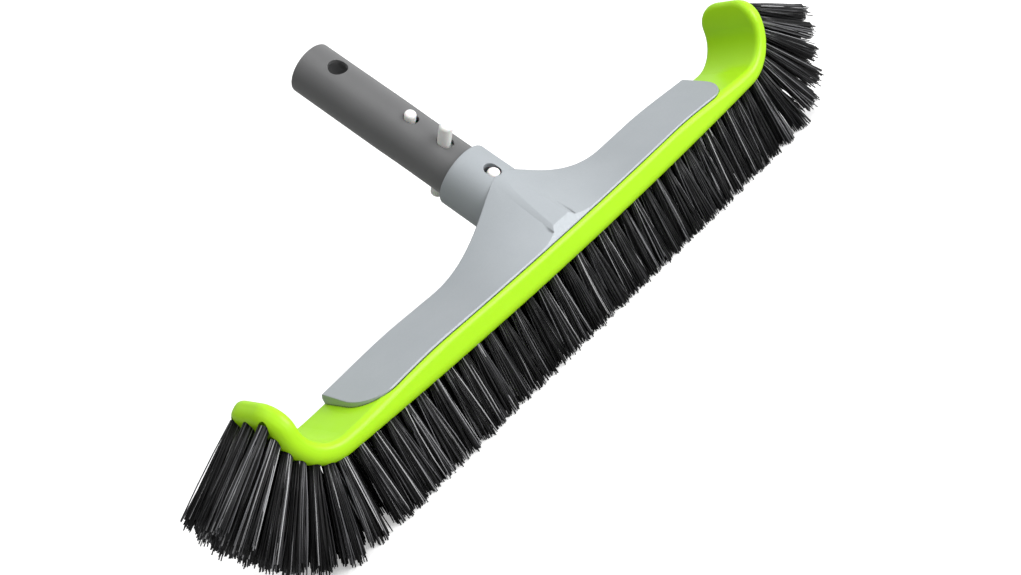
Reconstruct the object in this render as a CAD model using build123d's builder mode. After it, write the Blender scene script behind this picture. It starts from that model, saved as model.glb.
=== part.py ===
from build123d import *
from math import asin, cos, degrees, exp, radians, sin, sqrt, tan
import os

# A pool wall brush. Origin: centre of the flat-trimmed bristle tips. +X runs along the brush,
# +Y points to the side of the pole handle and +Z points up, away from the bristles.

os.makedirs("parts", exist_ok=True)

# ---- driving dimensions, mm and degrees ----

# moulded bar
bristle_projection = 35.7
base_thickness = 14.8
base_depth = 37.6
arch_radius = 3320.0
curl_radius = 27.4
curl_centre_x = 156.5
curl_thickness = 10.0
flare_radius = 28.5
flare_sweep = 23.0
top_arch_reach = 88.0
tip_corner_radius = 13.0
top_edge_radius = 3.2
bottom_edge_radius = 5.6

# handle: axis in the plane x = 0, measured from the collar's mouth
handle_angle = 40.5
mouth_y = 41.2
mouth_height = 32.4
tube_reach = 102.4
tube_insertion = 28.5
tube_radius = 14.25
tube_relief = 0.2
grip_start = 44.0
taper_length = 12.0
tube_bore_radius = 12.0
tube_rim_radius = 1.1
cross_hole_at = 84.0
cross_hole_radius = 5.25
running_gap = 0.1

# bracket
collar_radius = 17.1
collar_rim_radius = 0.8
collar_floor = 0.5
arm_length = 141.0
front_y = -17.6
back_y = 18.0
facet_slope = 0.5
toe_height = 0.95
nose_height = 5.8
nose_width = 10.0
arm_crest_y = 14.0
arm_crest_height = 5.5
bracket_stations = 18
wing_rise = 36.7
wing_span = 66.0
wing_blend = 10.0
wing_power = 2.0
arm_corner_radius = 17.0
arm_heel_radius = 3.0

# spring clips
clip_width = 9.0
leg_thickness = 2.4
clip_gap = 0.3
slot_play = 0.3
pin_crown_share = 0.5
lock_hinge_at = 72.0
lock_bow_radius = 3.0
lock_end_at = 7.0
lock_end_radius = 9.3
lock_pin_at = 35.4
lock_pin_radius = 3.1
lock_pin_stand = 2.8
nub_at = 13.1
nub_radius = 3.5
nub_stand = 11.0
lock_slot_shift = 1.6
retainer_hinge_at = -26.0
retainer_hinge_radius = 8.6
retainer_bow_gap = 0.6
retainer_end_at = -12.6
retainer_pin_at = -18.4
retainer_pin_radius = 3.4
retainer_recess = 0.2
retainer_slot_shift = 2.0

# screws
screw_places = (-114.0, -47.5, 47.5, 114.0)
screw_radius = 1.9
screw_clearance_radius = 2.2
head_radius = 3.5
head_height = 2.6
counterbore_radius = 3.9
counterbore_depth = 3.8
web_thickness = 2.8
post_radius = 3.5
post_gap = 0.2
screw_grip = 5.0
thread_gap = 0.05
driver_slot = (4.2, 1.0, 1.2)

# tufts
tuft_pitch = 9.5
tufts_each_side = 16
curl_tufts = 7
curl_tuft_start = 4.0
curl_tuft_pitch = 7.3
tuft_root_radius = 2.6
tuft_end_radius = 3.2
tuft_length = 44.0
hole_radius = 2.7
hole_depth = 6.5
anchor_size = (4.8, 0.6, 1.5)
anchor_gap = 0.1
tip_drop = 28.0
tip_gather = 0.35
tip_fan_power = 1.5
row_names = ("front_row", "front_middle_row", "centre_row", "back_middle_row", "back_row")
row_spacing = 7.0
row_lean = 2.0

# ---- worked-out places ----

base_bottom_z = bristle_projection
base_top_z = base_bottom_z + base_thickness
mouth_z = base_top_z + mouth_height

arch_turn = degrees(asin(curl_centre_x / (arch_radius - curl_radius)))
curl_centre_z = base_bottom_z + arch_radius - sqrt((arch_radius - curl_radius) ** 2 - curl_centre_x**2)
curl_centre = (curl_centre_x, curl_centre_z)
flare_centre = (curl_centre_x + curl_radius + flare_radius, curl_centre_z)
curl_run = radians(90 - arch_turn) * curl_radius
end_run = curl_run + radians(flare_sweep) * flare_radius

handle_origin = Vector(0, mouth_y, mouth_z)
handle_direction = Vector(0, cos(radians(handle_angle)), sin(radians(handle_angle)))
handle_up = Vector(0, -sin(radians(handle_angle)), cos(radians(handle_angle)))
side_plane = Plane(origin=handle_origin, x_dir=handle_direction, z_dir=(1, 0, 0))
split_plane = Plane(origin=handle_origin, z_dir=handle_up)


def arch_rise(x):
    """Height of the arched bar above its middle at x."""
    return arch_radius - sqrt(arch_radius**2 - x**2)


def across(t):
    """Plane square to the handle's axis, t from the collar's mouth, looking out along the handle."""
    return Plane(origin=handle_origin + handle_direction * t, x_dir=(1, 0, 0), z_dir=handle_direction)


def radial(t):
    """Plane on the handle's axis, t from the collar's mouth, looking up square to the axis."""
    return Plane(origin=handle_origin + handle_direction * t, x_dir=handle_direction, z_dir=handle_up)


def point_on(centre, radius, angle):
    return (centre[0] + radius * cos(radians(angle)), centre[1] + radius * sin(radians(angle)))


# ---- tuft places ----


def end_station(run):
    """Root (x, z) and angle below the horizontal of a tuft, run along the outer face from the curl's start."""
    if run < curl_run:
        root = point_on(curl_centre, curl_radius, -90 + arch_turn + degrees(run / curl_radius))
    else:
        root = point_on(flare_centre, flare_radius, 180 - degrees((run - curl_run) / flare_radius))
    drop = tip_drop + (90 - tip_drop) * (1 - run / end_run) ** tip_fan_power
    return root, drop


def tuft_plane(x, z, y, drop, lean, side):
    flat = cos(radians(lean))
    out = Vector(side * cos(radians(drop)) * flat, sin(radians(lean)), -sin(radians(drop)) * flat)
    return Plane(origin=(side * x, y, z), x_dir=Vector(0, 1, 0).cross(out), z_dir=out)


def row_planes(row):
    """The root planes of one row's tufts, each looking out of the bar. Alternate rows stand half a pitch on."""
    level = row - (len(row_names) - 1) / 2
    shift = (row % 2) / 2
    planes = []
    for step in range(-tufts_each_side, tufts_each_side + 1 - row % 2):
        x = (step + shift) * tuft_pitch
        if level == 0 and x in screw_places:
            continue
        z = base_bottom_z + arch_rise(x)
        planes.append(tuft_plane(x, z, level * row_spacing, 90, level * row_lean, 1))
    for step in range(curl_tufts - row % 2):
        run = curl_tuft_start + (step + shift) * curl_tuft_pitch
        (x, z), drop = end_station(run)
        share = run / end_run
        y = level * row_spacing * (1 - tip_gather * share**4)
        lean = level * row_lean * (1 - share**2)
        for side in (-1, 1):
            planes.append(tuft_plane(x, z, y, drop, lean, side))
    return planes


rows = [row_planes(row) for row in range(len(row_names))]
all_roots = [plane for planes in rows for plane in planes]

# ---- moulded bar ----

inner_curl_radius = curl_radius - curl_thickness
outer_flare_radius = flare_radius + curl_thickness
top_arch_turn = degrees(asin(top_arch_reach / arch_radius))
dip = (curl_centre_x, curl_centre_z - inner_curl_radius)
crest_end = point_on((0, base_top_z + arch_radius), arch_radius, -90 + top_arch_turn)
crest_slope = (cos(radians(top_arch_turn)), sin(radians(top_arch_turn)))
curl_outer_x = curl_centre_x + curl_radius
tip_cuts = [Axis((0, 0, 0), (side * cos(radians(flare_sweep)), 0, -sin(radians(flare_sweep)))) for side in (-1, 1)]


def on_upper_side(edge):
    """True for an edge on the bar's upper side, which is the inner side of its curled ends."""
    middle = edge.position_at(0.5)
    x = abs(middle.X)
    if x < curl_centre_x:
        return middle.Z > base_bottom_z + base_thickness / 2
    if middle.Z < curl_centre_z:
        return (Vector(x, middle.Z) - Vector(*curl_centre)).length < curl_radius - curl_thickness / 2
    return (Vector(x, middle.Z) - Vector(*flare_centre)).length > flare_radius + curl_thickness / 2


with BuildPart() as brush_base:
    with BuildSketch(Plane.XZ):
        with BuildLine():
            CenterArc((0, base_bottom_z + arch_radius), arch_radius, -90, arch_turn)
            CenterArc(curl_centre, curl_radius, -90 + arch_turn, 90 - arch_turn)
            CenterArc(flare_centre, flare_radius, 180, -flare_sweep)
            Line(
                point_on(flare_centre, flare_radius, 180 - flare_sweep),
                point_on(flare_centre, outer_flare_radius, 180 - flare_sweep),
            )
            CenterArc(flare_centre, outer_flare_radius, 180, -flare_sweep)
            CenterArc(curl_centre, inner_curl_radius, -90, 90)
            Spline(crest_end, dip, tangents=(crest_slope, (1, 0)))
            CenterArc((0, base_top_z + arch_radius), arch_radius, -90, top_arch_turn)
            mirror(about=Plane.YZ)
        make_face()
    extrude(amount=base_depth / 2, both=True)
    corners = [edge for cut in tip_cuts for edge in brush_base.edges().filter_by(cut)]
    fillet(corners, tip_corner_radius)
    square_edges = [edge for cut in tip_cuts for edge in brush_base.edges().filter_by(cut)]
    seams = brush_base.edges().filter_by(Axis.Y).filter_by(lambda edge: abs(edge.center().X) < curl_outer_x)
    rim = [edge for edge in brush_base.edges() if edge not in square_edges + seams]
    fillet([edge for edge in rim if on_upper_side(edge)], top_edge_radius)
    lower_rim = [edge for edge in rim if not on_upper_side(edge)]
    fillet(lower_rim, bottom_edge_radius)
    with Locations(*all_roots):
        Cylinder(hole_radius, 2 * hole_depth, mode=Mode.SUBTRACT)
    for x in screw_places:
        seat_z = base_bottom_z + arch_rise(x) + counterbore_depth
        with Locations((x, 0, seat_z)):
            Cylinder(counterbore_radius, base_thickness, align=(Align.CENTER, Align.CENTER, Align.MAX),
                     mode=Mode.SUBTRACT)
            Cylinder(screw_clearance_radius, base_thickness, mode=Mode.SUBTRACT)
        with Locations((x, 0, seat_z + web_thickness)):
            Cylinder(post_radius + post_gap, base_thickness, align=(Align.CENTER, Align.CENTER, Align.MIN),
                     mode=Mode.SUBTRACT)

# ---- bracket ----

collar_length = tube_insertion + collar_floor
far_below = 3 * base_thickness
collar_run = 80.0
foot_depth = 2.5
front_facet = Plane(origin=(0, front_y, base_top_z), z_dir=(0, 1, -facet_slope))
nose_y = front_y + facet_slope * nose_height
ramp_top = arm_crest_height + wing_rise * (1 - wing_blend / wing_span) ** wing_power
ramp_slope = (ramp_top - nose_height) / (arm_crest_y - nose_y)
ramp_plane = Plane(origin=(0, nose_y, base_top_z + nose_height), z_dir=(0, -ramp_slope, 1))


def bracket_outline(foot_z, nose, crest):
    """Section square to X, standing on the bar: front facet, sloping top and back flank."""
    Polyline(
        (front_y, foot_z - foot_depth),
        (front_y, foot_z),
        (front_y + facet_slope * nose, foot_z + nose),
        (arm_crest_y, foot_z + crest),
        (back_y, foot_z),
        (back_y, foot_z - foot_depth),
        close=True,
    )


def nose_at(x):
    return toe_height + (nose_height - toe_height) * exp(-((x / nose_width) ** 2))


def crest_height_at(x):
    """Height of the crest line over the bar: the wings climb to the collar in a hollow curve."""
    wing = max(0.0, 1 - sqrt(x**2 + wing_blend**2) / wing_span)
    return arm_crest_height + wing_rise * wing**wing_power


def top_rise(x):
    """Height of the bar's upper side at x above its middle."""
    x = abs(x)
    if x < top_arch_reach:
        return arch_rise(x)
    span = dip[0] - top_arch_reach
    share = (x - top_arch_reach) / span
    climb = arch_rise(top_arch_reach)
    slope = tan(radians(top_arch_turn)) * span
    fall = dip[1] - base_top_z
    blend = share**2 * (3 - 2 * share)
    return climb * (1 - blend) + slope * share * (1 - share) ** 2 + fall * blend


with BuildPart() as collar_boss:
    with BuildSketch(across(0)):
        Circle(collar_radius)
    extrude(amount=-collar_run)
    split(bisect_by=ramp_plane, keep=Keep.BOTTOM)
    split(bisect_by=front_facet, keep=Keep.TOP)

with BuildPart() as mounting_bracket:
    for step in range(-bracket_stations, bracket_stations + 1):
        x = arm_length * step / bracket_stations
        with BuildSketch(Plane.YZ.offset(x)):
            with BuildLine():
                bracket_outline(base_top_z + top_rise(x), nose_at(x), crest_height_at(x))
            make_face()
    loft()
    with BuildSketch(Plane.XY.offset(base_top_z)) as plan:
        with Locations((0, (front_y + back_y) / 2)):
            Rectangle(2 * arm_length, back_y - front_y)
        fillet(plan.vertices().group_by(Axis.Y)[0], arm_corner_radius)
        fillet(plan.vertices().group_by(Axis.Y)[-1], arm_heel_radius)
    extrude(amount=far_below, both=True, mode=Mode.INTERSECT)
    add(collar_boss.part)
    with BuildSketch(Plane.XZ):
        with BuildLine():
            CenterArc((0, base_top_z + arch_radius), arch_radius, -90, top_arch_turn)
            Spline(crest_end, dip, tangents=(crest_slope, (1, 0)))
            Polyline(dip, (dip[0], base_top_z - far_below), (0, base_top_z - far_below))
            mirror(about=Plane.YZ)
        make_face()
    extrude(amount=2 * base_depth, both=True, mode=Mode.SUBTRACT)
    for x in screw_places:
        post_foot = base_bottom_z + arch_rise(x) + counterbore_depth + web_thickness + post_gap
        with Locations((x, 0, post_foot)):
            Cylinder(post_radius, base_top_z + toe_height - post_foot, align=(Align.CENTER, Align.CENTER, Align.MIN))
            Cylinder(screw_radius + thread_gap, 2 * screw_grip, mode=Mode.SUBTRACT)
    with BuildSketch(across(0)):
        Circle(tube_radius - tube_relief + running_gap)
    extrude(amount=-collar_length, mode=Mode.SUBTRACT)
    with BuildSketch(radial(retainer_pin_at + retainer_slot_shift / 2)):
        SlotCenterToCenter(retainer_slot_shift, 2 * (retainer_pin_radius + slot_play))
    extrude(amount=2 * collar_radius, both=True, mode=Mode.SUBTRACT)
    mouth = mounting_bracket.edges().filter_by(GeomType.CIRCLE).sort_by(Axis(handle_origin, handle_direction))[-2:]
    fillet(mouth, collar_rim_radius)

# ---- handle tube ----

with BuildPart() as pole_adaptor_tube:
    with BuildSketch(across(-tube_insertion)):
        Circle(tube_radius - tube_relief)
    extrude(amount=tube_insertion + grip_start - taper_length)
    with Locations(across(grip_start)):
        Cone(
            tube_radius - tube_relief,
            tube_radius,
            taper_length,
            align=(Align.CENTER, Align.CENTER, Align.MAX),
        )
    with BuildSketch(across(grip_start)):
        Circle(tube_radius)
    extrude(amount=tube_reach - grip_start)
    with BuildSketch(across(-tube_insertion)):
        Circle(tube_bore_radius)
    extrude(amount=tube_insertion + tube_reach, mode=Mode.SUBTRACT)
    far_rim = pole_adaptor_tube.edges().filter_by(GeomType.CIRCLE)
    fillet(far_rim.sort_by(Axis(handle_origin, handle_direction))[-1], tube_rim_radius)
    with BuildSketch(radial(cross_hole_at)):
        Circle(cross_hole_radius)
    with BuildSketch(radial(lock_pin_at - lock_slot_shift / 2)):
        SlotCenterToCenter(lock_slot_shift, 2 * (lock_pin_radius + slot_play))
    with BuildSketch(radial(nub_at - lock_slot_shift / 2)):
        SlotCenterToCenter(lock_slot_shift, 2 * (nub_radius + slot_play))
    with BuildSketch(radial(retainer_pin_at + retainer_slot_shift / 2)):
        SlotCenterToCenter(retainer_slot_shift, 2 * (retainer_pin_radius + slot_play))
    extrude(amount=2 * tube_radius, both=True, mode=Mode.SUBTRACT)

# ---- spring clips: a fixed bow and two legs, each leg turning about its rounded end ----

half_leg = leg_thickness / 2

with BuildPart() as locking_clip_bow:
    with BuildSketch(side_plane):
        with Locations((lock_hinge_at + half_leg + clip_gap, 0)):
            Circle(lock_bow_radius + half_leg)
            Circle(lock_bow_radius - half_leg, mode=Mode.SUBTRACT)
            Rectangle(far_below, far_below, align=(Align.MAX, Align.CENTER), mode=Mode.SUBTRACT)
    extrude(amount=clip_width / 2, both=True)

with BuildPart() as locking_clip_upper_leg:
    lock_hinge = Vector(lock_hinge_at, lock_bow_radius)
    lock_end = Vector(lock_end_at, lock_end_radius)
    with BuildSketch(side_plane):
        SlotCenterPoint((lock_hinge + lock_end) / 2, lock_end, leg_thickness)
    extrude(amount=clip_width / 2, both=True)
    for at, radius, stand in ((lock_pin_at, lock_pin_radius, lock_pin_stand), (nub_at, nub_radius, nub_stand)):
        leg_height = (lock_hinge + (lock_end - lock_hinge) * ((lock_hinge_at - at) / (lock_hinge_at - lock_end_at))).Y
        with BuildSketch(radial(at).offset(leg_height)):
            Circle(radius)
        extrude(amount=tube_radius + stand - leg_height)
        crown = locking_clip_upper_leg.faces(Select.LAST).sort_by(Axis(handle_origin, handle_up))[-1]
        fillet(crown.edges(), pin_crown_share * radius)

with BuildPart() as locking_clip_lower_leg:
    mirror(locking_clip_upper_leg.part, about=split_plane)

with BuildPart() as retainer_clip_bow:
    with BuildSketch(side_plane):
        with Locations((retainer_hinge_at, 0)):
            Rectangle(leg_thickness, 2 * (retainer_hinge_radius - half_leg - retainer_bow_gap))
    extrude(amount=clip_width / 2, both=True)

with BuildPart() as retainer_clip_upper_leg:
    with BuildSketch(side_plane):
        with Locations(((retainer_hinge_at + retainer_end_at) / 2, retainer_hinge_radius)):
            SlotCenterToCenter(retainer_end_at - retainer_hinge_at, leg_thickness)
    extrude(amount=clip_width / 2, both=True)
    with BuildSketch(radial(retainer_pin_at).offset(retainer_hinge_radius)):
        Circle(retainer_pin_radius)
    extrude(amount=collar_radius - retainer_recess - retainer_hinge_radius)
    crown = retainer_clip_upper_leg.faces().sort_by(Axis(handle_origin, handle_up))[-1]
    fillet(crown.edges(), pin_crown_share * retainer_pin_radius)

with BuildPart() as retainer_clip_lower_leg:
    mirror(retainer_clip_upper_leg.part, about=split_plane)

# ---- screws, put in from below ----

with BuildPart() as bracket_screws:
    for x in screw_places:
        seat_z = base_bottom_z + arch_rise(x) + counterbore_depth
        with Locations((x, 0, seat_z)):
            Cylinder(head_radius, head_height, align=(Align.CENTER, Align.CENTER, Align.MAX))
            Cylinder(
                screw_radius,
                web_thickness + post_gap + screw_grip - clip_gap,
                align=(Align.CENTER, Align.CENTER, Align.MIN),
            )
        with Locations((x, 0, seat_z - head_height), Location((x, 0, seat_z - head_height), (0, 0, 90))):
            Box(*driver_slot, align=(Align.CENTER, Align.CENTER, Align.MIN), mode=Mode.SUBTRACT)

# ---- bristle tufts and the anchors that hold them in their blind holes ----

tuft_seat = hole_depth - anchor_size[2] - anchor_gap
tuft_rows = {}
anchor_rows = {}
for name, planes in zip(row_names, rows):
    with BuildPart() as tufts:
        with Locations(*planes):
            Cylinder(tuft_root_radius, tuft_seat, align=(Align.CENTER, Align.CENTER, Align.MAX))
            Cone(tuft_root_radius, tuft_end_radius, tuft_length, align=(Align.CENTER, Align.CENTER, Align.MIN))
        split(bisect_by=Plane.XY, keep=Keep.TOP)
    tuft_rows[name + "_tufts"] = tufts
    with BuildPart() as anchors:
        with Locations(*[plane.offset(-hole_depth) for plane in planes]):
            Box(*anchor_size, align=(Align.CENTER, Align.CENTER, Align.MIN))
    anchor_rows[name + "_anchors"] = anchors

# ---- files ----

pieces = {
    "brush_base": brush_base,
    "mounting_bracket": mounting_bracket,
    "pole_adaptor_tube": pole_adaptor_tube,
    "locking_clip_bow": locking_clip_bow,
    "locking_clip_upper_leg": locking_clip_upper_leg,
    "locking_clip_lower_leg": locking_clip_lower_leg,
    "retainer_clip_bow": retainer_clip_bow,
    "retainer_clip_upper_leg": retainer_clip_upper_leg,
    "retainer_clip_lower_leg": retainer_clip_lower_leg,
    "bracket_screws": bracket_screws,
    **tuft_rows,
    **anchor_rows,
}
for name, piece in pieces.items():
    piece.part.label = name
    export_step(piece.part, f"parts/{name}.step")
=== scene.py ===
import math

import bpy
import numpy as np
from mathutils import Matrix, Vector

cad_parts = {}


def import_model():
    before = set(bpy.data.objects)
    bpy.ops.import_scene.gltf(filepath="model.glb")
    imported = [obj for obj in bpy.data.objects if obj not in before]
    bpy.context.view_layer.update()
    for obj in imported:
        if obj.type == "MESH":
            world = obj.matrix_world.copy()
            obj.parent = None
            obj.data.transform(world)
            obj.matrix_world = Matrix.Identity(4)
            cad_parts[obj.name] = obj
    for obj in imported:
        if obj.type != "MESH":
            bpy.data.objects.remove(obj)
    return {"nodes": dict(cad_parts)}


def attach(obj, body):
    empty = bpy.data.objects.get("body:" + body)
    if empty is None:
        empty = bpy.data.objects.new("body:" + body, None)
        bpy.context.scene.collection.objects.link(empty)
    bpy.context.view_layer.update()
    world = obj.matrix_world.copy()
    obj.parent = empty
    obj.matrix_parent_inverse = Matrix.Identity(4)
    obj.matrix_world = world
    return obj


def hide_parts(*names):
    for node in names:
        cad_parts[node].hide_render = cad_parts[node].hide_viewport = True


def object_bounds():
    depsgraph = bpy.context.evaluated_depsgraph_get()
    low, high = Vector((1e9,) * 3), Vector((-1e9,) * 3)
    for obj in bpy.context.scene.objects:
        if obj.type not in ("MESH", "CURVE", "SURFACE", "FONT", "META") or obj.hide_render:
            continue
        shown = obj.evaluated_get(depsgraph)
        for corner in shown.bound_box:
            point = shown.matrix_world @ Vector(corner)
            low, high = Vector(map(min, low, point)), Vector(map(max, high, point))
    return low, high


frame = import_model()
cad_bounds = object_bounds()

MM = 0.001
ROWS = ("front_row", "front_middle_row", "centre_row", "back_middle_row", "back_row")
SEED = 20417

# ---------------------------------------------------------------- materials

NOISE_RANGE = (0.25, 0.75)
EDGE_SAMPLES = 6
# Painted shade: colours darken to a near-black line where surfaces come close, such as between
# bracket and base and round the bristle roots.
SEAM_SHADE_SAMPLES = 6
SEAM_SHADE_WIDTH = 1.4 * MM
SEAM_SHADE_CLOSED = 0.48
SEAM_SHADE_OPEN = 0.68
SEAM_SHADE_COLOUR = (0.02, 0.022, 0.02)


def start_material(name, colour, roughness, metallic=0.0):
    """A Principled material, its node tree and its shader node."""
    material = bpy.data.materials.new(name)
    material.use_nodes = True
    tree = material.node_tree
    shader = tree.nodes["Principled BSDF"]
    shader.inputs["Base Color"].default_value = (*colour, 1.0)
    shader.inputs["Roughness"].default_value = roughness
    shader.inputs["Metallic"].default_value = metallic
    return material, tree, shader


def noise(tree, scale, detail=3.0, stretch=(1.0, 1.0, 1.0)):
    """Noise over the row frame; scale is in features per metre. Returns its value's socket."""
    place = tree.nodes.new("ShaderNodeTexCoord")
    mapping = tree.nodes.new("ShaderNodeMapping")
    mapping.inputs["Scale"].default_value = stretch
    texture = tree.nodes.new("ShaderNodeTexNoise")
    texture.inputs["Scale"].default_value = scale
    texture.inputs["Detail"].default_value = detail
    tree.links.new(place.outputs["Object"], mapping.inputs["Vector"])
    tree.links.new(mapping.outputs["Vector"], texture.inputs["Vector"])
    return texture.outputs["Fac"]


def map_range(tree, value, source, target):
    """A map range node that takes value from the source range to the target range."""
    node = tree.nodes.new("ShaderNodeMapRange")
    node.inputs["From Min"].default_value, node.inputs["From Max"].default_value = source
    node.inputs["To Min"].default_value, node.inputs["To Max"].default_value = target
    tree.links.new(value, node.inputs["Value"])
    return node


def spread(tree, value, low, high):
    """A noise's value mapped to low..high."""
    return map_range(tree, value, NOISE_RANGE, (low, high)).outputs["Result"]


def two_colours(tree, value, low, high):
    """A colour between low and high as value runs from 0 to 1."""
    node = tree.nodes.new("ShaderNodeMix")
    node.data_type = "RGBA"
    node.inputs["A"].default_value = (*low, 1.0)
    node.inputs["B"].default_value = (*high, 1.0)
    tree.links.new(value, node.inputs["Factor"])
    return node.outputs["Result"]


def painted_seam_shade(tree, colour):
    """colour darkened by painted shade: a dark line where surfaces meet within the shade width
    of each other, standing for the shade in seams and corners.
    """
    near = tree.nodes.new("ShaderNodeAmbientOcclusion")
    near.samples = SEAM_SHADE_SAMPLES
    near.inputs["Distance"].default_value = SEAM_SHADE_WIDTH
    level = map_range(tree, near.outputs["AO"], (SEAM_SHADE_CLOSED, SEAM_SHADE_OPEN), (0.0, 1.0))
    node = tree.nodes.new("ShaderNodeMix")
    node.data_type = "RGBA"
    node.inputs["A"].default_value = (*SEAM_SHADE_COLOUR, 1.0)
    tree.links.new(level.outputs["Result"], node.inputs["Factor"])
    tree.links.new(colour, node.inputs["B"])
    return node.outputs["Result"]


def bump(tree, height, distance, strength, under=None):
    """A normal with relief from height, distance deep, on top of the normal under."""
    node = tree.nodes.new("ShaderNodeBump")
    node.inputs["Strength"].default_value = strength
    node.inputs["Distance"].default_value = distance
    tree.links.new(height, node.inputs["Height"])
    if under is not None:
        tree.links.new(under, node.inputs["Normal"])
    return node.outputs["Normal"]


def soft_edges(tree, radius):
    """A normal that rounds the edges over by radius."""
    node = tree.nodes.new("ShaderNodeBevel")
    node.samples = EDGE_SAMPLES
    node.inputs["Radius"].default_value = radius
    return node.outputs["Normal"]


def lime_plastic():
    """Glossy moulded plastic with a faint flow pattern and orange peel."""
    material, tree, shader = start_material("lime_plastic", (0.385, 0.735, 0.006), 0.36)
    link = tree.links.new
    flow = noise(tree, 22, 2, stretch=(0.35, 1, 1))
    colour = two_colours(tree, flow, (0.37, 0.715, 0.005), (0.405, 0.76, 0.008))
    # Painted shade: the lime darkens to a dark line where it meets the bracket and round the
    # bristle roots.
    link(painted_seam_shade(tree, colour), shader.inputs["Base Color"])
    link(spread(tree, noise(tree, 140), 0.31, 0.42), shader.inputs["Roughness"])
    link(bump(tree, noise(tree, 620, 2), 0.05 * MM, 0.35), shader.inputs["Normal"])
    shader.inputs["Specular IOR Level"].default_value = 0.35
    shader.inputs["Subsurface Weight"].default_value = 0.12
    shader.inputs["Subsurface Radius"].default_value = (0.6, 1.0, 0.1)
    shader.inputs["Subsurface Scale"].default_value = 2.0 * MM
    return material


def satin_aluminium():
    """Cast and blasted aluminium: fine grain, faint clouding, edges rounded over."""
    material, tree, shader = start_material("satin_aluminium", (0.37, 0.40, 0.425), 0.58, 0.35)
    link = tree.links.new
    cloud = noise(tree, 45, 4)
    colour = two_colours(tree, cloud, (0.345, 0.372, 0.395), (0.395, 0.422, 0.443))
    # Painted shade: the aluminium darkens to a dark line where it meets the base and other
    # parts.
    link(painted_seam_shade(tree, colour), shader.inputs["Base Color"])
    link(spread(tree, noise(tree, 900, 4), 0.52, 0.64), shader.inputs["Roughness"])
    grain = bump(tree, noise(tree, 2600, 4), 0.04 * MM, 0.5, soft_edges(tree, 0.7 * MM))
    link(grain, shader.inputs["Normal"])
    return material


def dark_tube():
    """Smooth dark grey tube with faint clouding and fine grain."""
    material, tree, shader = start_material("dark_tube", (0.125, 0.126, 0.128), 0.36)
    link = tree.links.new
    link(two_colours(tree, noise(tree, 60, 3), (0.115, 0.116, 0.118), (0.135, 0.136, 0.138)),
         shader.inputs["Base Color"])
    link(spread(tree, noise(tree, 300, 4), 0.30, 0.42), shader.inputs["Roughness"])
    grain = bump(tree, noise(tree, 1500, 3), 0.02 * MM, 0.4, soft_edges(tree, 0.4 * MM))
    link(grain, shader.inputs["Normal"])
    return material


def white_nylon():
    """White moulded nylon, slightly translucent."""
    material, tree, shader = start_material("white_nylon", (0.84, 0.84, 0.82), 0.36)
    link = tree.links.new
    link(two_colours(tree, noise(tree, 180, 3), (0.80, 0.80, 0.775), (0.88, 0.88, 0.865)),
         shader.inputs["Base Color"])
    grain = bump(tree, noise(tree, 1300, 2), 0.03 * MM, 0.4, soft_edges(tree, 0.4 * MM))
    link(grain, shader.inputs["Normal"])
    shader.inputs["Subsurface Weight"].default_value = 0.15
    shader.inputs["Subsurface Scale"].default_value = 1.5 * MM
    return material


# Filament greys: the dark stops are the nylon's own tone, varying at random; the lighter stops
# up to the lightest are painted highlights for the sheen along glossy strands.
DARKEST = (0.004, 0.004, 0.0045)
LIGHTEST_SHEEN = (0.50, 0.50, 0.51)
FILAMENT_GREYS_AND_SHEEN = ((0.55, 0.010), (0.76, 0.04), (0.89, 0.16))
COOLNESS = 1.06


def bristle_nylon():
    """Black nylon filaments, each a slightly different grey at random; the lightest greys are
    painted highlights for the sheen along the strands.
    """
    material, tree, shader = start_material("bristle_nylon", (0.02, 0.02, 0.022), 0.38)
    link = tree.links.new
    geometry = tree.nodes.new("ShaderNodeNewGeometry")
    ramp = tree.nodes.new("ShaderNodeValToRGB")
    ramp.color_ramp.interpolation = "LINEAR"
    stops = ramp.color_ramp.elements
    stops[0].position, stops[0].color = 0.0, (*DARKEST, 1)
    stops[1].position, stops[1].color = 1.0, (*LIGHTEST_SHEEN, 1)
    for position, grey in FILAMENT_GREYS_AND_SHEEN:
        stop = stops.new(position)
        stop.color = (grey, grey, grey * COOLNESS, 1)
    # Each filament draws a grey at random; the lightest draws are painted highlights.
    link(geometry.outputs["Random Per Island"], ramp.inputs["Fac"])
    link(ramp.outputs["Color"], shader.inputs["Base Color"])
    link(spread(tree, noise(tree, 700, 2), 0.34, 0.52), shader.inputs["Roughness"])
    link(bump(tree, noise(tree, 2200, 2), 0.03 * MM, 0.4), shader.inputs["Normal"])
    shader.inputs["Specular IOR Level"].default_value = 0.3
    return material


def plain_metal(name, low, high, roughness):
    """Machined metal with colour clouding between low and high."""
    material, tree, shader = start_material(name, high, roughness, 1.0)
    link = tree.links.new
    link(two_colours(tree, noise(tree, 500, 3), low, high), shader.inputs["Base Color"])
    polish = spread(tree, noise(tree, 1200, 3), roughness - 0.06, roughness + 0.08)
    link(polish, shader.inputs["Roughness"])
    grain = bump(tree, noise(tree, 2500, 2), 0.02 * MM, 0.4, soft_edges(tree, 0.15 * MM))
    link(grain, shader.inputs["Normal"])
    return material


def paint(node, material):
    """Puts material on a CAD node."""
    mesh = frame["nodes"][node].data
    mesh.materials.clear()
    mesh.materials.append(material)


lime, aluminium, tube, nylon = lime_plastic(), satin_aluminium(), dark_tube(), white_nylon()
bristle = bristle_nylon()
steel = plain_metal("screw_steel", (0.50, 0.50, 0.51), (0.62, 0.62, 0.63), 0.30)
brass = plain_metal("anchor_brass", (0.62, 0.47, 0.22), (0.72, 0.56, 0.28), 0.32)

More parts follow.
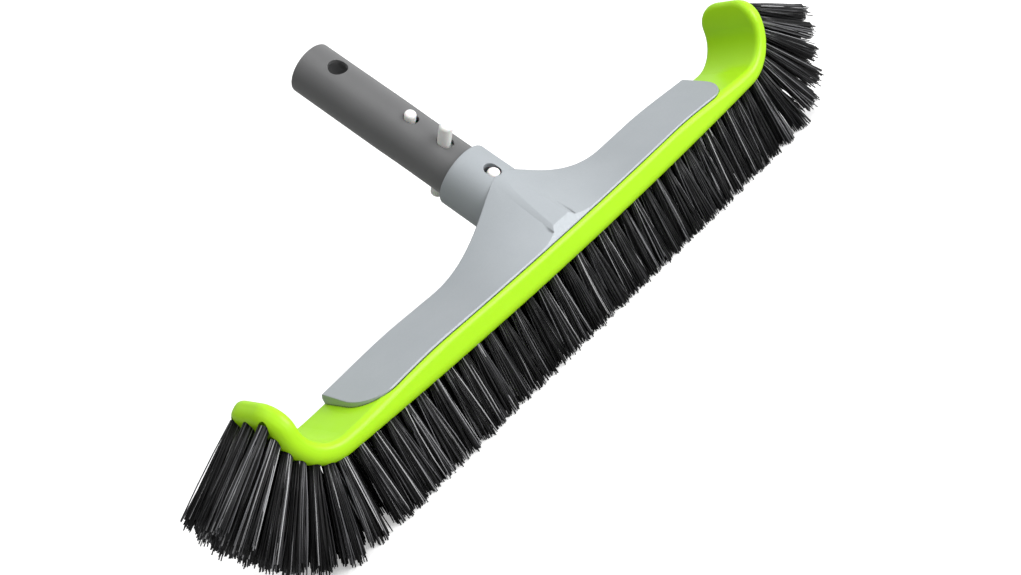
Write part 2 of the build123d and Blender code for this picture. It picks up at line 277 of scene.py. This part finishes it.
finishes = {
    "brush_base": lime,
    "mounting_bracket": aluminium,
    "pole_adaptor_tube": tube,
    "bracket_screws": steel,
}
for clip in ("locking_clip", "retainer_clip"):
    for part in ("bow", "upper_leg", "lower_leg"):
        finishes[f"{clip}_{part}"] = nylon
for row in ROWS:
    finishes[f"{row}_anchors"] = brass
    finishes[f"{row}_tufts"] = bristle
for node, material in finishes.items():
    paint(node, material)

# ---------------------------------------------------------------- bristles

FILAMENTS = 96
SIDES = 5
RINGS = 4
FILAMENT_RADIUS = 0.29 * MM
ROOT_REACH = 2.4 * MM
ROOT_JITTER = 0.12 * MM
TIP_SPREAD = 2.15
END_NARROWING = 0.5
SPREAD_RANGE = (0.85, 1.15)
TIP_JITTER = 0.55 * MM
TUFT_SWAY = 0.35 * MM
BOW = 0.35 * MM
TRIM = 1.5 * MM
TUFT_TRIM = 0.5 * MM
START_DEPTH = 1.2 * MM
SEAT_DEPTH = 4.9 * MM
RING_GAP = 1.5 * MM
WELD = 0.001 * MM
GOLDEN_ANGLE = math.pi * (3 - math.sqrt(5))
OFF_AXIS = (0.31, 0.95, 0.05)


def loose_parts(mesh):
    """The corners of each separate solid in a mesh, as arrays of points."""
    points = np.empty(len(mesh.vertices) * 3)
    mesh.vertices.foreach_get("co", points)
    cells = np.round(points.reshape(-1, 3) / WELD).astype(int)
    keys, index = np.unique(cells, axis=0, return_inverse=True)
    index = index.ravel()
    owner = np.arange(len(keys))
    edges = np.empty(len(mesh.edges) * 2, dtype=int)
    mesh.edges.foreach_get("vertices", edges)
    pairs = index[edges.reshape(-1, 2)]
    while True:
        low = np.minimum(owner[pairs[:, 0]], owner[pairs[:, 1]])
        before = owner.copy()
        np.minimum.at(owner, pairs[:, 0], low)
        np.minimum.at(owner, pairs[:, 1], low)
        owner = owner[owner]
        if (owner == before).all():
            break
    spots = keys * WELD
    return [spots[owner == one] for one in np.unique(owner)]


def tuft_axis(points):
    """(mouth centre, unit direction outwards, length) of a tuft from its rings of corners."""
    along = np.linalg.svd(points - points.mean(0), full_matrices=False)[2][0]
    height = points @ along
    order = np.argsort(height)
    cuts = np.where(np.diff(height[order]) > RING_GAP)[0] + 1
    rings = [points[group] for group in np.split(order, cuts)]
    first, last = ((rings[i].mean(0) - rings[j].mean(0)) @ along for i, j in ((1, 0), (-1, -2)))
    if abs(first - SEAT_DEPTH) > abs(last - SEAT_DEPTH):
        rings.reverse()
    seat, mouth, tip = rings[0].mean(0), rings[1].mean(0), rings[-1].mean(0)
    out = (mouth - seat) / np.linalg.norm(mouth - seat)
    return mouth, out, float((tip - mouth) @ out)


def bundle(rng, mouth, out, length):
    """Filament centre lines of one tuft, as (FILAMENTS, RINGS, 3) points."""
    side = np.cross(out, (0.0, 1.0, 0.0))
    side /= np.linalg.norm(side)
    other = np.cross(out, side)
    number = np.arange(FILAMENTS)
    reach = ROOT_REACH * np.sqrt((number + 0.5) / FILAMENTS)
    turn = number * GOLDEN_ANGLE + rng.uniform(0, 2 * math.pi)
    disc = reach[:, None] * np.stack([np.cos(turn), np.sin(turn)], 1)
    disc += rng.normal(0, ROOT_JITTER, disc.shape)
    sway = rng.normal(0, TUFT_SWAY, (1, 2))
    widening = TIP_SPREAD - END_NARROWING * out[0] ** 4
    ends = disc * widening * rng.uniform(*SPREAD_RANGE, (FILAMENTS, 1)) + sway
    ends += rng.normal(0, TIP_JITTER, disc.shape)
    bow = rng.normal(0, BOW, disc.shape)
    runs = length + rng.normal(0, TRIM, FILAMENTS) + rng.normal(0, TUFT_TRIM)
    share = np.linspace(0, 1, RINGS)[None, :, None]
    flat = disc[:, None] * (1 - share) + ends[:, None] * share
    flat = flat + bow[:, None] * np.sin(math.pi * share)
    depth = -START_DEPTH + share * (runs[:, None, None] + START_DEPTH)
    return mouth + flat[..., :1] * side + flat[..., 1:] * other + depth * out


def filament_mesh(name, lines):
    """Filaments along centre lines, one closed rod with SIDES sides each, as one mesh."""
    count = len(lines)
    start = lines[:, :1]
    along = lines[:, -1:] - start
    along = along / np.linalg.norm(along, axis=2, keepdims=True)
    first = np.cross(along, OFF_AXIS)
    first /= np.linalg.norm(first, axis=2, keepdims=True)
    second = np.cross(along, first)
    turn = np.linspace(0, 2 * math.pi, SIDES, endpoint=False)
    circle = np.cos(turn)[:, None] * first[:, :, None]
    circle = circle + np.sin(turn)[:, None] * second[:, :, None]
    corners = lines[:, :, None] + FILAMENT_RADIUS * circle
    vertices = corners.reshape(-1, 3)

    ring, spoke = np.meshgrid(np.arange(RINGS - 1), np.arange(SIDES), indexing="ij")
    here = ring * SIDES + spoke
    there = ring * SIDES + (spoke + 1) % SIDES
    quads = np.stack([here, there, there + SIDES, here + SIDES], -1).reshape(-1, 4)
    caps = np.array([np.arange(SIDES)[::-1], np.arange(SIDES) + (RINGS - 1) * SIDES])
    shift = np.arange(count) * RINGS * SIDES
    quad_corners = (quads[None] + shift[:, None, None]).reshape(-1)
    cap_corners = (caps[None] + shift[:, None, None]).reshape(-1)
    sizes = np.concatenate([np.full(count * len(quads), 4), np.full(count * 2, SIDES)])

    mesh = bpy.data.meshes.new(name)
    mesh.vertices.add(len(vertices))
    mesh.vertices.foreach_set("co", vertices.ravel())
    corner_list = np.concatenate([quad_corners, cap_corners])
    mesh.loops.add(len(corner_list))
    mesh.loops.foreach_set("vertex_index", corner_list)
    mesh.polygons.add(len(sizes))
    mesh.polygons.foreach_set("loop_start", np.concatenate([[0], np.cumsum(sizes)[:-1]]))
    mesh.update(calc_edges=True)
    smooth = np.concatenate([np.ones(count * len(quads), bool), np.zeros(count * 2, bool)])
    mesh.polygons.foreach_set("use_smooth", smooth)
    mesh.validate()
    return mesh


def bristle_row(row, number):
    """One row of tufts, each a bundle of filaments standing where its CAD tuft stands."""
    rng = np.random.default_rng(SEED + number)
    node = f"{row}_tufts"
    axes = [tuft_axis(points) for points in loose_parts(frame["nodes"][node].data)]
    lines = np.concatenate([bundle(rng, *axis) for axis in axes])
    piece = bpy.data.objects.new(f"{row}_bristles", filament_mesh(f"{row}_bristles", lines))
    bpy.context.scene.collection.objects.link(piece)
    piece.data.materials.append(bristle)
    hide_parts(node)
    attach(piece, "brush")


for number, row in enumerate(ROWS):
    bristle_row(row, number)

# ---------------------------------------------------------------- stage, light and camera

FLOOR_SIZE = 12.0
FLOOR_GLOW = 0.35
FLOOR_BOUNCE = (0.38, 0.38, 0.38)
FLOOR_PALE = ((0.925, 0.925, 0.925), (0.94, 0.94, 0.94))
FLOOR_ROUGHNESS = 0.9
GRADIENT_SPAN = (-0.6, 0.7)
SKY_SIDE = (0.5, -0.3, 0.8)
SKY_LEVELS = (0.10, 0.95)
LIGHT_AIM = Vector((0, 0, 0.05))
LIGHT_SIZE = 1.4
KEY_PLACE = Vector((0.9, -1.65, 0.55))
KEY_POWER = 39
TOP_PLACE = Vector((-0.1, -0.2, 2.0))
TOP_POWER = 6
CAMERA_TURN = math.radians(36.09)
CAMERA_HEIGHT = math.radians(23.38)
CAMERA_ROLL = math.radians(-26.09)
CAMERA_DISTANCE = 0.743
CAMERA_AIM = Vector((-0.0143, 0.0266, 0.0249))
LENS = 52.5
SENSOR = 36.0
NEAR_CLIP = 0.01


def floor():
    """A plain floor that looks pale to the camera and gives back less light than it shows."""
    mesh = bpy.data.meshes.new("floor")
    half = FLOOR_SIZE / 2
    corners = [(-half, -half, 0), (half, -half, 0), (half, half, 0), (-half, half, 0)]
    mesh.from_pydata(corners, [], [(0, 1, 2, 3)])
    piece = bpy.data.objects.new("floor", mesh)
    piece.location.z = cad_bounds[0][2]
    bpy.context.scene.collection.objects.link(piece)
    material, tree, shader = start_material("floor", FLOOR_BOUNCE, FLOOR_ROUGHNESS)
    path = tree.nodes.new("ShaderNodeLightPath")
    seen = path.outputs["Is Camera Ray"]
    bounce = tree.nodes.new("ShaderNodeMix")
    bounce.data_type = "RGBA"
    bounce.inputs["A"].default_value = (*FLOOR_BOUNCE, 1.0)
    pale = two_colours(tree, noise(tree, 3, 2), *FLOOR_PALE)
    tree.links.new(seen, bounce.inputs["Factor"])
    tree.links.new(pale, bounce.inputs["B"])
    tree.links.new(bounce.outputs["Result"], shader.inputs["Base Color"])
    glow = tree.nodes.new("ShaderNodeMath")
    glow.operation = "MULTIPLY"
    glow.inputs[1].default_value = FLOOR_GLOW
    tree.links.new(seen, glow.inputs[0])
    shader.inputs["Emission Color"].default_value = (1.0, 1.0, 1.0, 1.0)
    tree.links.new(glow.outputs["Value"], shader.inputs["Emission Strength"])
    mesh.materials.append(material)


def area_light(name, place, power):
    """A soft square light at place, aimed at the part."""
    data = bpy.data.lights.new(name, "AREA")
    data.shape = "RECTANGLE"
    data.size = data.size_y = LIGHT_SIZE
    data.energy = power
    light = bpy.data.objects.new(name, data)
    light.location = place
    light.rotation_euler = (LIGHT_AIM - place).to_track_quat("-Z", "Y").to_euler()
    bpy.context.scene.collection.objects.link(light)


def world(toward, dim, bright):
    """Soft surroundings: bright towards one side, dim on the other, white to the camera."""
    surroundings = bpy.data.worlds.new("surroundings")
    surroundings.use_nodes = True
    tree = surroundings.node_tree
    background = tree.nodes["Background"]
    background.inputs["Color"].default_value = (1.0, 1.0, 1.0, 1.0)
    place = tree.nodes.new("ShaderNodeTexCoord")
    facing = tree.nodes.new("ShaderNodeVectorMath")
    facing.operation = "DOT_PRODUCT"
    facing.inputs[1].default_value = Vector(toward).normalized()
    tree.links.new(place.outputs["Generated"], facing.inputs[0])
    level = map_range(tree, facing.outputs["Value"], GRADIENT_SPAN, (dim, bright))
    level.interpolation_type = "SMOOTHSTEP"
    path = tree.nodes.new("ShaderNodeLightPath")
    shown = tree.nodes.new("ShaderNodeMath")
    shown.operation = "MAXIMUM"
    tree.links.new(level.outputs["Result"], shown.inputs[0])
    tree.links.new(path.outputs["Is Camera Ray"], shown.inputs[1])
    tree.links.new(shown.outputs["Value"], background.inputs["Strength"])
    bpy.context.scene.world = surroundings


def camera():
    """The camera, turned about its own axis by CAMERA_ROLL."""
    level = math.cos(CAMERA_HEIGHT)
    forward = Vector((math.sin(CAMERA_TURN) * level, math.cos(CAMERA_TURN) * level,
                      -math.sin(CAMERA_HEIGHT)))
    right = forward.cross(Vector((0, 0, 1))).normalized()
    up = right.cross(forward)
    rolled_right = right * math.cos(CAMERA_ROLL) + up * math.sin(CAMERA_ROLL)
    rolled_up = up * math.cos(CAMERA_ROLL) - right * math.sin(CAMERA_ROLL)
    data = bpy.data.cameras.new("camera")
    data.lens = LENS
    data.sensor_width = SENSOR
    data.clip_start = NEAR_CLIP
    seat = bpy.data.objects.new("camera", data)
    turn = Matrix((rolled_right, rolled_up, -forward)).transposed().to_4x4()
    seat.matrix_world = Matrix.Translation(CAMERA_AIM - forward * CAMERA_DISTANCE) @ turn
    bpy.context.scene.collection.objects.link(seat)
    bpy.context.scene.camera = seat


floor()
world(SKY_SIDE, *SKY_LEVELS)
area_light("key", KEY_PLACE, KEY_POWER)
area_light("top", TOP_PLACE, TOP_POWER)
camera()
bpy.context.scene.view_settings.view_transform = "Standard"
